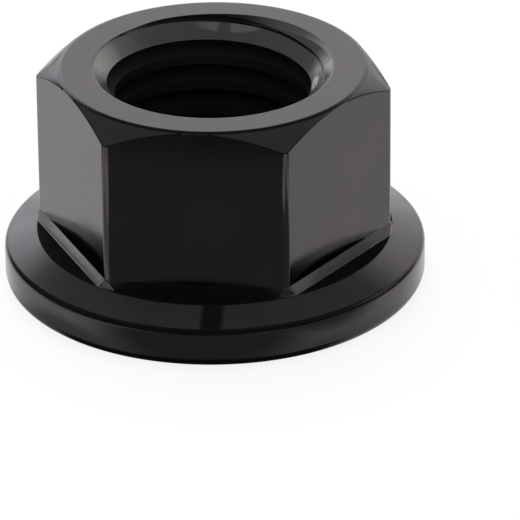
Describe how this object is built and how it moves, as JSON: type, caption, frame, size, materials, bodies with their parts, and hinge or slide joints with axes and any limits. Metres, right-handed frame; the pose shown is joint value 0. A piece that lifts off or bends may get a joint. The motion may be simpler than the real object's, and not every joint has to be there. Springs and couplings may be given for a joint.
{
  "type": "flange nut",
  "caption": "Hexagon nut in one piece with a wide sloping flange, thick plain rim, turned top face, milled flats and a countersunk threaded bore.",
  "frame": {"origin": "centre of the flange's bearing face", "axes": "+Z along the thread axis, from the bearing face towards the top face; two of the hexagon's flats face +Y and -Y, and two of its corners point along +X and -X"},
  "size_m": [0.0192, 0.019, 0.0103],
  "materials": {
    "black_steel": "black oxide, semi-gloss, fine turning marks"
  },
  "bodies": {
    "root": {"flange_nut": "black_steel"}
  },
  "joints": []
}
